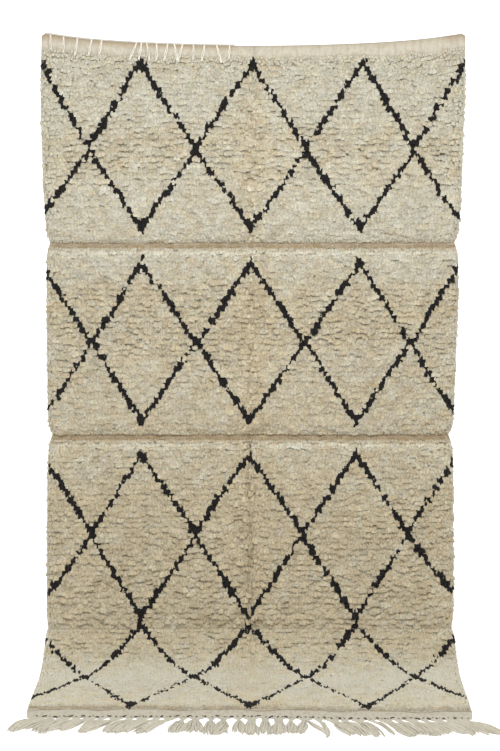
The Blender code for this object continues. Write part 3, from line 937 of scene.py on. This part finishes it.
def yarn_runs(runs):
    """Points and edges of many runs: each has places (across, down, height), thicknesses and a tone."""
    mesh = bpy.data.meshes.new("runs")
    places = np.concatenate([run[0] for run in runs])
    starts = np.cumsum([0] + [len(run[0]) for run in runs])
    edges = [(i, i + 1) for start, stop in zip(starts[:-1], starts[1:]) for i in range(start, stop - 1)]
    points = on_rug(places[:, 0], places[:, 1], places[:, 2])
    mesh.from_pydata(points.tolist(), edges, [])
    carry(mesh, "thickness", np.concatenate([np.broadcast_to(run[1], len(run[0])) for run in runs]))
    carry(mesh, "tone", np.concatenate([np.full(len(run[0]), run[2]) for run in runs]))
    return mesh


def tassel(number, random):
    """The yarns and frayed ends of one tassel."""
    pitch = (RUG_WIDTH - TASSEL_STRIP) / TASSEL_COUNT
    root = (number + 0.5 - TASSEL_COUNT / 2) * pitch
    far = RUG_LENGTH + STRIP_GAP + TASSEL_STRIP
    share = root / (RUG_WIDTH / 2)
    sweep, length, neck, full = (read(TASSEL_SWEEP, share, index) for index in (1, 2, 3, 4))
    sweep = math.radians(sweep + TASSEL_JITTER * math.sin(1.7 * number))
    bend = math.radians(random.uniform(-TASSEL_BEND, TASSEL_BEND))
    drawn_in, length = random.uniform(0.75, 1.35), length * random.uniform(0.88, 1.08)
    gathered = (GATHERING[number % 3] + random.uniform(-0.16, 0.16)) * pitch
    runs = []
    for yarn in range(TASSEL_YARNS):
        across = (yarn + 0.5) / TASSEL_YARNS * 2.0 - 1.0
        layer = yarn % 2
        reach = length * (0.97 + random.uniform(-0.09, 0.05))
        along = YARN_PLACES
        turned = sweep * smooth((along + 0.05) / 0.25) + bend * np.maximum(along, 0.0) ** 2
        half = read(TASSEL_SHAPE, along) * np.where((along > 0.0) & (along < 0.4), drawn_in, 1.0)
        half *= 1.0 + (full - 1.0) * smooth((along - 0.15) / 0.2)
        half = np.maximum(half, 0.45 * (1.0 - neck)) * pitch
        wavy = np.sin(along * random.uniform(5.0, 9.0) + random.uniform(0.0, math.tau))
        wavy = 0.0022 * wavy * smooth(along * 2)
        aside = across * half * np.where(along > 0.0, math.cos(sweep) ** 0.5, 1.0) + wavy
        held = along < 0.0
        middle = np.maximum(along, 0.0) * reach
        path_x = root + gathered * smooth((along + 0.12) / 0.16)
        path_x = path_x + middle * np.sin(turned) + aside * np.cos(turned)
        path_y = far + np.where(held, (along + 0.02) * 0.09, middle * np.cos(turned)) - aside * np.sin(turned)
        thick = YARN * read(TASSEL_SHAPE, along, 2) * random.uniform(0.88, 1.10)
        body = smooth((along - 0.12) / 0.30)
        mound = 1.0 + 0.7 * (1.0 - across**2) * body * (1.0 - smooth((along - 0.7) / 0.4))
        lying = thick * (1.0 + (0.2 + 0.4 * body) * layer) * mound
        height = np.where(held, CLOTH / 2 + (0.8 if layer else -0.8) * 0.001, lying)
        height = np.maximum(height, thick + 0.0002)
        tone = random.uniform(0.0, 1.0)
        runs.append((np.stack([path_x, path_y, height], axis=1), thick, tone))
        for _ in range(2):
            spread = turned[-1] + random.uniform(-0.9, 0.9)
            step = FRAY_LENGTH * random.uniform(0.4, 1.0) * np.array([-0.25, 0.5, 1.0])
            x = path_x[-1] + step * math.sin(spread)
            y = path_y[-1] + step * math.cos(spread)
            z = np.linspace(height[-1], FRAY * 1.5, 3)
            runs.append((np.stack([x, y, z], axis=1), FRAY * np.array([1.2, 1.0, 0.6]), tone))
    return runs


def twining():
    """Two weft yarns that cross between the warps all along the edge."""
    half = RUG_WIDTH / 2 - 0.004
    middle = RUG_LENGTH + STRIP_GAP + TASSEL_STRIP / 2
    across = np.arange(-half, half, 0.0042)
    over = np.where(np.arange(across.size) % 2, 1.0, -1.0)
    runs = []
    for side in (1.0, -1.0):
        place = np.stack([across, middle + side * over * 0.0012, CLOTH / 2 + side * over * 0.0016], axis=1)
        runs.append((place, 0.0009, 0.6))
    return runs


def painted_gap_shadows(random):
    """Painted shadow: short dark dashes at the heads of the gaps between tassels, and dots between them,
    where shade falls under the twined edge.
    """
    pitch = (RUG_WIDTH - TASSEL_STRIP) / TASSEL_COUNT
    runs = []
    for number in range(1, TASSEL_COUNT):
        beside = GATHERING[(number - 1) % 3], GATHERING[number % 3]
        wide = beside != GATHERING[:2]
        dash = (0.0056 * random.uniform(0.5, 1.3), 0.0031) if wide else (0.0028, 0.0023)
        dot = (0.0022, 0.0015)
        for (half, thick), aside in ((dash, sum(beside) / 2), (dot, 0.5 + random.uniform(-0.2, 0.2))):
            middle = (number - TASSEL_COUNT / 2 + aside) * pitch + random.uniform(-0.002, 0.002)
            down = RUG_LENGTH + STRIP_GAP + 0.0005 + random.uniform(-0.006, 0.004)
            slant = random.uniform(-0.0060, 0.0070)
            places = [
                (middle + step * half, down - step * slant, CLOTH + 0.0002 - 0.0012 * step**2)
                for step in (-1.0, -0.5, 0.5, 1.0)
            ]
            runs.append((np.array(places), thick, 0.0))
    return runs


warp_cotton, tree, shader = new_material("warp_yarn", 0.90, 0.20)
tone = times(tree, attribute(tree, "tone"), 0.20)
tone = plus(tree, tone, fibres(tree, 120.0, (1, 1, 1), "patches"))
tone = minus(tree, tone, 0.12, clamp=True)
cotton = blend_colours(tree, tone, (0.32, 0.297, 0.230), (0.54, 0.505, 0.42))
clean_ends = minus(tree, attribute(tree, "tone"), 1.0, clamp=True)
cotton = blend_colours(tree, clean_ends, cotton, (0.74, 0.71, 0.64))
tree.links.new(cotton, shader.inputs["Base Color"])
plies = fibres(tree, 700.0, (1.0, 0.5, 1.0), "plies")
bump = add(tree, "ShaderNodeBump", {"Strength": 0.4, "Distance": 0.0012, "Height": plies})
tree.links.new(bump.outputs[0], shader.inputs["Normal"])

# Near-black for the painted shadows in the gaps under the twined edge.
gap_shadow_paint, tree, shader = new_material("gap_shadow_paint", 0.90, 0.10)
shadow_tone = fibres(tree, 400.0, (1, 1, 1), "fibres")
shadow_tone = blend_colours(tree, shadow_tone, (0.02, 0.017, 0.013), (0.07, 0.058, 0.046))
tree.links.new(shadow_tone, shader.inputs["Base Color"])

yarn_maker = yarn_tree(warp_cotton)
combing = np.random.default_rng(77)
tassel_runs = [run for number in range(TASSEL_COUNT) for run in tassel(number, combing)]
bottom_fringe = made_by(yarn_maker, yarn_runs(tassel_runs + twining()), {"Sides": 4}, "tassels")
# The painted shadows under the twined edge, as short dark dashes and dots.
gap_shadow_marks = made_by(yarn_tree(gap_shadow_paint), yarn_runs(painted_gap_shadows(combing)), {"Sides": 6}, "painted_gap_shadows")
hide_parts("bottom_fringe")
for piece in (bottom_fringe, gap_shadow_marks):
    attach(piece, "root")


# ---- the top warp ends ----
# Sixteen pairs of warps that were left longer than the rest when the rug was cut from the loom. They
# come out of the braided upper edge, left of the middle, and hang loose over the band and the pile.

EDGE_BRAID = 0.0019  # radius of each of the two yarns braided along the edge
WARP_STRIP, WARP_STRIP_END = 0.004, 0.020  # width of the braided edge, and its run past the outer ends
BRAID_TURN = 0.012  # length of one turn of the braid
WARP_YARNS, WARP_SPACING, WARP_RADIUS = 3, 0.0022, 0.0016  # in each end: how many, how far apart, how thick
# columns: place across the rug, length, sideways lean of the tip
WARP_ENDS = (
    (-0.715, 0.045, 0.002),
    (-0.672, 0.050, 0.000),
    (-0.624, 0.055, -0.009),
    (-0.574, 0.052, -0.011),
    (-0.539, 0.048, -0.010),
    (-0.415, 0.058, -0.026),
    (-0.398, 0.060, -0.010),
    (-0.379, 0.062, 0.012),
    (-0.344, 0.060, 0.000),
    (-0.305, 0.058, -0.012),
    (-0.281, 0.062, 0.013),
    (-0.252, 0.060, -0.018),
    (-0.213, 0.055, -0.002),
    (-0.174, 0.060, -0.011),
    (-0.131, 0.066, 0.019),
    (-0.085, 0.050, -0.002),
)


def warp_end(root, length, lean, random):
    """Loose yarns side by side, over the edge and down the rug's face."""
    runs = []
    for yarn in range(WARP_YARNS):
        aside = (yarn - (WARP_YARNS - 1) / 2) * WARP_SPACING
        reach = length * random.uniform(0.88, 1.0)
        down = np.concatenate([[-0.0035, -0.003, 0.001], np.linspace(0.010, reach, 6)])
        share = np.maximum(down, 0.0) / length
        across = root + lean * share + aside * (1.0 + 0.5 * share) + 0.0012 * np.sin(9.0 * share + yarn * 2.0)
        rise = CLOTH + 0.0022 + 0.015 * smooth((down - 0.022) / 0.040)
        height = np.where(down < -0.0032, CLOTH / 2, rise)
        thick = WARP_RADIUS * np.interp(share, [0.0, 0.8, 1.0], [0.9, 1.0, 0.5])
        runs.append((np.stack([across, down, height], axis=1), thick, random.uniform(1.3, 1.7)))
    return runs


def edge_braid():
    """Two yarns wound round each other along the top edge."""
    start, stop = WARP_ENDS[0][0] - WARP_STRIP_END, WARP_ENDS[-1][0] + WARP_STRIP_END
    across = np.linspace(start + EDGE_BRAID, stop - EDGE_BRAID, 240)
    runs = []
    for phase in (0.0, math.pi):
        wound = (across - start) / BRAID_TURN * math.tau + phase
        down = -0.0004 - WARP_STRIP / 2 + 0.0008 * np.sin(wound)
        height = CLOTH / 2 + 0.0011 * np.cos(wound)
        runs.append((np.stack([across, down, height], axis=1), EDGE_BRAID * 0.75, 0.3))
    return runs


loose_runs = [run for row in WARP_ENDS for run in warp_end(*row, combing)]
top_fringe = made_by(yarn_maker, yarn_runs(loose_runs + edge_braid()), {"Sides": 5}, "warp_ends")
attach(top_fringe, "root")
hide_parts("top_fringe")


# ---- floor and light ----
# A plain white floor, and a wall far behind it. The light is even all round, with one broad soft lamp
# above and in front, and a smaller one over the rug that makes its rows stand out.

for name, size, place, turn in (
    ("floor", 30.0, (0.0, 0.0, -0.0005), (0.0, 0.0, 0.0)),
    ("wall", 60.0, (0.0, 13.0, 0.0), (math.radians(90.0), 0.0, 0.0)),
):
    plane = bpy.data.meshes.new(name)
    half = size / 2
    corners = [(-half, -half, 0), (half, -half, 0), (half, half, 0), (-half, half, 0)]
    plane.from_pydata(corners, [], [(0, 1, 2, 3)])
    paper = bpy.data.materials.new(name + "_paper")
    paper.use_nodes = True
    shader = paper.node_tree.nodes["Principled BSDF"]
    set_sockets(shader, {"Base Color": (0.9, 0.9, 0.9, 1.0), "Roughness": 0.9})
    set_sockets(shader, {"Emission Color": (1.0, 1.0, 1.0, 1.0), "Emission Strength": 0.55})
    plane.materials.append(paper)
    backdrop = bpy.data.objects.new(name, plane)
    backdrop.location, backdrop.rotation_euler = place, turn
    put_in_scene(backdrop)

world = bpy.data.worlds.new("studio")
world.use_nodes = True
set_sockets(world.node_tree.nodes["Background"], {0: (1.0, 1.0, 1.0, 1.0), 1: 0.68})
bpy.context.scene.world = world

for name, watts, size, place, tipped in (
    ("key", 120.0, (3.0, 1.6), (0.0, -4.6, 4.4), 53.0),
    ("overhead", 74.0, (2.6, 0.9), (0.0, -1.6, 2.8), 0.0),
):
    light = bpy.data.lights.new(name, "AREA")
    light.shape, light.energy = "RECTANGLE", watts
    light.size, light.size_y = size
    lamp = bpy.data.objects.new(name, light)
    lamp.location, lamp.rotation_euler = place, (math.radians(tipped), 0.0, 0.0)
    put_in_scene(lamp)
bpy.context.scene.view_settings.view_transform = "Standard"
